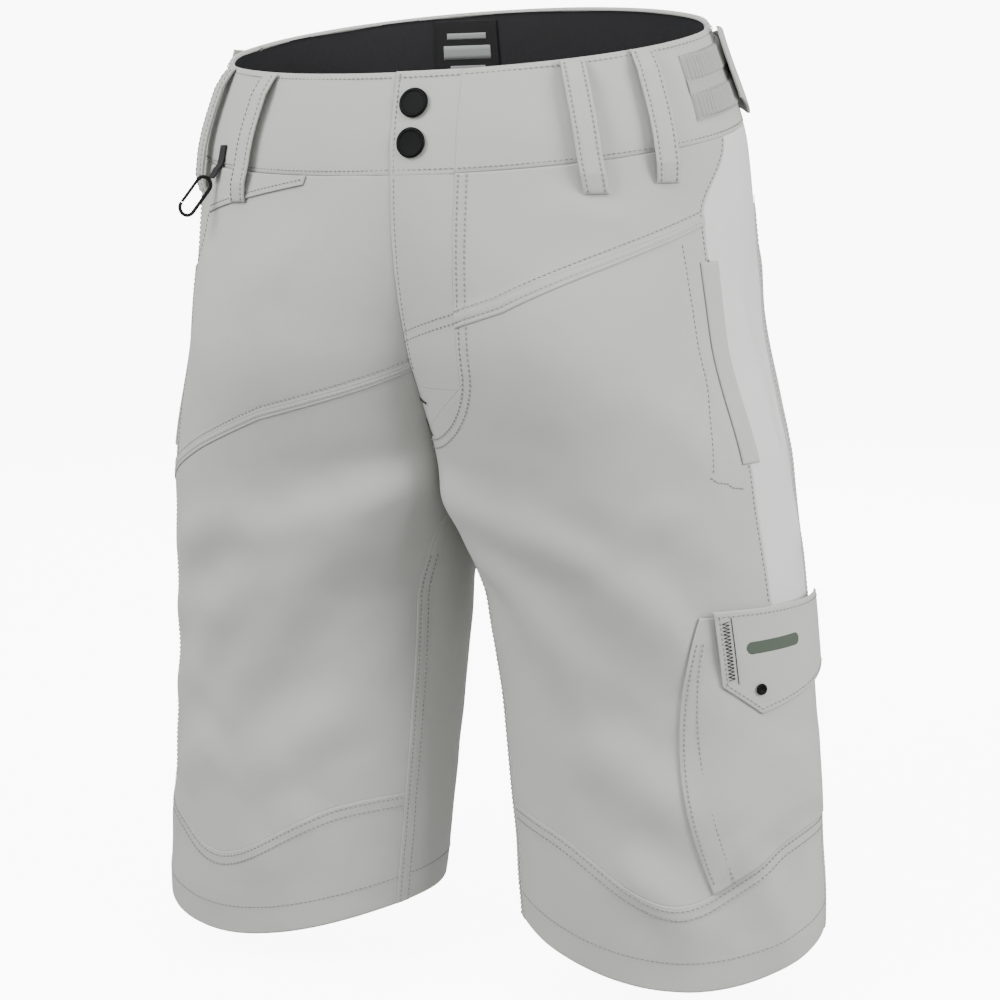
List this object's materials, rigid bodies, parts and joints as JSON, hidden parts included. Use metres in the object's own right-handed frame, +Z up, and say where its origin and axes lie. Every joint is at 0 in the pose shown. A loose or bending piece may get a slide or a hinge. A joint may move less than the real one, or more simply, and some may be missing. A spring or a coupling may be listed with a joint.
{
  "type": "riding shorts",
  "caption": "Loose knee-length riding shorts in light cloth, with a snapped zip fly, belt loops, waist adjusters, zipped side pockets and a flap cargo pocket.",
  "frame": {"origin": "centre of the waist opening, halfway between its front and back edges", "axes": "+X towards the wearer's left, front towards -Y, +Z up"},
  "size_m": [0.458, 0.2528, 0.5994],
  "materials": {
    "cloth": "matte woven",
    "side_panel": "matte stretch woven",
    "lining": "soft matte knit",
    "label": "matte woven",
    "tape": "matte woven tape",
    "mesh": "matte mesh",
    "snap": "satin",
    "metal": "satin",
    "clip": "satin"
  },
  "bodies": {
    "shorts": {"upper_front_left": "cloth", "front_leg_left": "cloth", "knee_front_left": "cloth", "side_panel_left": "side_panel", "back_yoke_left": "cloth", "back_leg_left": "cloth", "upper_front_right": "cloth", "front_leg_right": "cloth", "knee_front_right": "cloth", "side_panel_right": "side_panel", "back_yoke_right": "cloth", "back_leg_right": "cloth", "crotch_gusset": "cloth", "waistband_front_left": "cloth", "waistband_back": "cloth", "waistband_front_right": "cloth", "waistband_lining": "lining", "waistband_label": "label", "fly_placket_end": "cloth", "snap_stud_upper": "metal", "snap_stud_lower": "metal", "waistband_underlap": "cloth", "fly_zip_tape": "tape", "fly_shield": "cloth", "pocket_zip_cover_left": "cloth", "pocket_zip_tape_left": "tape", "pocket_bag_left": "mesh", "pocket_zip_cover_right": "cloth", "pocket_zip_tape_right": "tape", "pocket_bag_right": "mesh", "belt_loop_front_left": "cloth", "belt_loop_side_left": "cloth", "belt_loop_front_right": "cloth", "belt_loop_side_right": "cloth", "belt_loop_back_left": "cloth", "belt_loop_back_right": "cloth", "belt_loop_back_centre": "cloth", "adjuster_ladder_left": "tape", "adjuster_strap_left": "tape", "adjuster_ladder_right": "tape", "adjuster_strap_right": "tape", "key_pocket_facing": "cloth", "key_strap": "lining", "cargo_pocket": "cloth", "flap_snap_stud": "metal"},
    "fly_flap": {"waistband_fly_tab": "cloth", "fly_placket": "cloth", "snap_cap_upper": "snap", "snap_socket_upper": "metal", "snap_cap_lower": "snap", "snap_socket_lower": "metal"},
    "fly_zip": {"fly_zip_slider": "metal"},
    "pocket_zip_left": {"pocket_zip_slider_left": "metal"},
    "pocket_zip_right": {"pocket_zip_slider_right": "metal"},
    "adjuster_tab_left": {"adjuster_tab_left": "cloth"},
    "adjuster_tab_right": {"adjuster_tab_right": "cloth"},
    "key_clip": {"key_clip_hook": "clip"},
    "key_clip_gate": {"key_clip_gate": "clip"},
    "cargo_flap": {"cargo_flap": "cloth", "flap_snap_cap": "snap"}
  },
  "joints": [
    {"name": "fly_flap_swing", "type": "hinge", "parent": "shorts", "child": "fly_flap", "pos_m": [0.041, -0.11625, -0.11], "axis": [0, 0.0698, 0.9976], "range_deg": [0, 100]},
    {"name": "fly_zip_slide", "type": "hinge", "parent": "shorts", "child": "fly_zip", "pos_m": [0.02238, 0.16582, -0.11704], "axis": [0.9998, -0.0176, 0.0108], "range_deg": [0, 9.2]},
    {"name": "pocket_zip_left_slide", "type": "hinge", "parent": "shorts", "child": "pocket_zip_left", "pos_m": [0.48975, 0.06545, -0.12637], "axis": [0.3243, -0.9453, 0.0349], "range_deg": [0, 12.2]},
    {"name": "adjuster_tab_left_lift", "type": "hinge", "parent": "shorts", "child": "adjuster_tab_left", "pos_m": [0.14731, 0.06066, -0.035], "axis": [0, 0, 1], "range_deg": [0, 80]},
    {"name": "pocket_zip_right_slide", "type": "hinge", "parent": "shorts", "child": "pocket_zip_right", "pos_m": [-0.48975, 0.06545, -0.12637], "axis": [0.3243, 0.9453, -0.0349], "range_deg": [0, 12.2]},
    {"name": "adjuster_tab_right_lift", "type": "hinge", "parent": "shorts", "child": "adjuster_tab_right", "pos_m": [-0.14731, 0.06066, -0.035], "axis": [0, 0, -1], "range_deg": [0, 80]},
    {"name": "cargo_flap_lift", "type": "hinge", "parent": "shorts", "child": "cargo_flap", "pos_m": [0.21582, -0.02518, -0.3424], "axis": [-0.3699, -0.9291, 0], "range_deg": [0, 110]},
    {"name": "key_clip_swing", "type": "hinge", "parent": "shorts", "child": "key_clip", "pos_m": [-0.13904, -0.08525, -0.0832], "axis": [-0.82, 0.5723, 0], "range_deg": [-20, 45]},
    {"name": "key_clip_gate_open", "type": "hinge", "parent": "key_clip", "child": "key_clip_gate", "pos_m": [-0.14928, -0.09992, -0.09698], "axis": [-0.82, 0.5723, 0], "range_deg": [0, 25], "stiffness_Nm_per_rad": 0.001, "springref_deg": -11.46}
  ]
}
